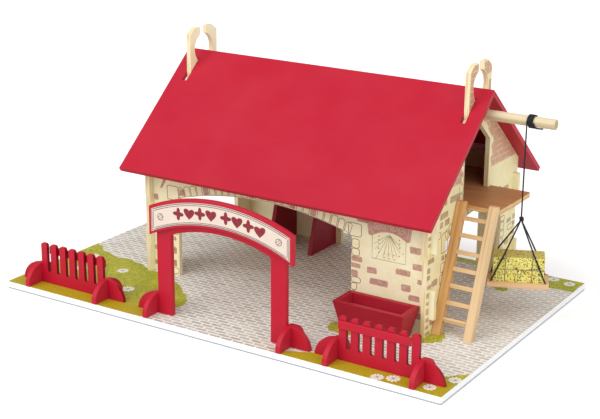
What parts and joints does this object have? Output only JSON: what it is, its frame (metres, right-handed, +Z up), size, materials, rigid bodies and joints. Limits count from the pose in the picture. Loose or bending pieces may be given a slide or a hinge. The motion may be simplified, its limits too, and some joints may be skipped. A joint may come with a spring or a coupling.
{
  "type": "toy barn playset",
  "caption": "Open wooden toy barn on a printed play board, with opening roof, loft, winding hoist, ladder, fences, gate and trough.",
  "frame": {"origin": "middle of the play board's underside, on the surface that it stands on", "axes": "+Z up, +X along the roof's ridge towards the hoist, -Y towards the fences and gate"},
  "size_m": [0.6148, 0.391, 0.3032],
  "materials": {
    "ground_print": "satin, printed with grass and cobbles",
    "wall_print": "satin, printed with stone and brick",
    "red_paint": "satin paint",
    "loft_board": "satin, printed wood brown, bare edges",
    "dowel_wood": "bare, sanded",
    "platform_wood": "bare, sanded",
    "ladder_wood": "bare, sanded",
    "black_cord": "matte woven cord",
    "hay_block": "matte, printed with straw"
  },
  "bodies": {
    "barn": {"base_board": "ground_print", "left_gable": "wall_print", "right_gable": "wall_print", "front_wall": "wall_print", "back_wall": "wall_print", "loft_floor": "loft_board", "stall_partition_left": "red_paint", "stall_partition_right": "red_paint"},
    "roof_front": {"roof_front_panel": "red_paint", "roof_front_batten": "red_paint"},
    "roof_back": {"roof_back_panel": "red_paint", "roof_back_batten": "red_paint"},
    "hoist_winch": {"hoist_beam": "dowel_wood", "hoist_winding": "black_cord"},
    "hoist_line": {"hoist_cord": "black_cord"},
    "hoist_load": {"hoist_knot": "black_cord", "hoist_bridle": "black_cord", "hoist_platform": "platform_wood"},
    "bale": {"hay_bale": "hay_block"},
    "ladder": {"ladder_left_rail": "ladder_wood", "ladder_right_rail": "ladder_wood", "ladder_rungs": "ladder_wood"},
    "fence_left": {"fence_left_panel": "red_paint", "fence_left_rail": "red_paint", "fence_left_foot_left": "red_paint", "fence_left_foot_right": "red_paint"},
    "fence_right": {"fence_right_panel": "red_paint", "fence_right_rail": "red_paint", "fence_right_foot_left": "red_paint", "fence_right_foot_right": "red_paint"},
    "gate": {"gate_frame": "red_paint", "gate_sign": "red_paint", "gate_foot_left": "red_paint", "gate_foot_right": "red_paint"},
    "trough": {"trough_front": "red_paint", "trough_back": "red_paint", "trough_left_end": "red_paint", "trough_right_end": "red_paint", "trough_bottom": "red_paint"}
  },
  "joints": [
    {"name": "roof_front_open", "type": "hinge", "parent": "barn", "child": "roof_front", "pos_m": [-0.197, 0.0485, 0.2736], "axis": [-1, 0, 0], "range_deg": [0, 95]},
    {"name": "roof_back_open", "type": "hinge", "parent": "barn", "child": "roof_back", "pos_m": [-0.197, 0.05342, 0.26939], "axis": [1, 0, 0], "range_deg": [0, 95]},
    {"name": "beam_turn", "type": "hinge", "parent": "barn", "child": "hoist_winch", "pos_m": [0.2734, 0.0485, 0.244], "axis": [-1, 0, 0], "range_deg": [-328, 205]},
    {"name": "load_swing", "type": "hinge", "parent": "barn", "child": "hoist_line", "pos_m": [0.2753, 0.0415, 0.244], "axis": [1, 0, 0], "range_deg": [-6, 12]},
    {"name": "platform_hoist", "type": "slide", "parent": "hoist_line", "child": "hoist_load", "axis": [0, 0, 1], "range_m": [-0.04, 0.025], "deforming": ["hoist_cord"]},
    {"name": "bale_unload", "type": "slide", "parent": "hoist_load", "child": "bale", "axis": [0.915, 0.4035, 0], "range_m": [0, 0.09]},
    {"name": "ladder_tip", "type": "hinge", "parent": "barn", "child": "ladder", "pos_m": [0.2394, -0.054, 0.009], "axis": [1, 0, 0], "range_deg": [0, 19]},
    {"name": "fence_left_lift", "type": "slide", "parent": "barn", "child": "fence_left", "axis": [0, 0, 1], "range_m": [0, 0.1]},
    {"name": "fence_right_lift", "type": "slide", "parent": "barn", "child": "fence_right", "axis": [0, 0, 1], "range_m": [0, 0.1]},
    {"name": "gate_lift", "type": "slide", "parent": "barn", "child": "gate", "axis": [0, 0, 1], "range_m": [0, 0.1]},
    {"name": "trough_lift", "type": "slide", "parent": "barn", "child": "trough", "axis": [0, -0.6, 0.8], "range_m": [0, 0.2]}
  ],
  "couplings": [
    {"joint": "beam_turn", "follows": "platform_hoist", "rad_per_m": 142.86}
  ]
}
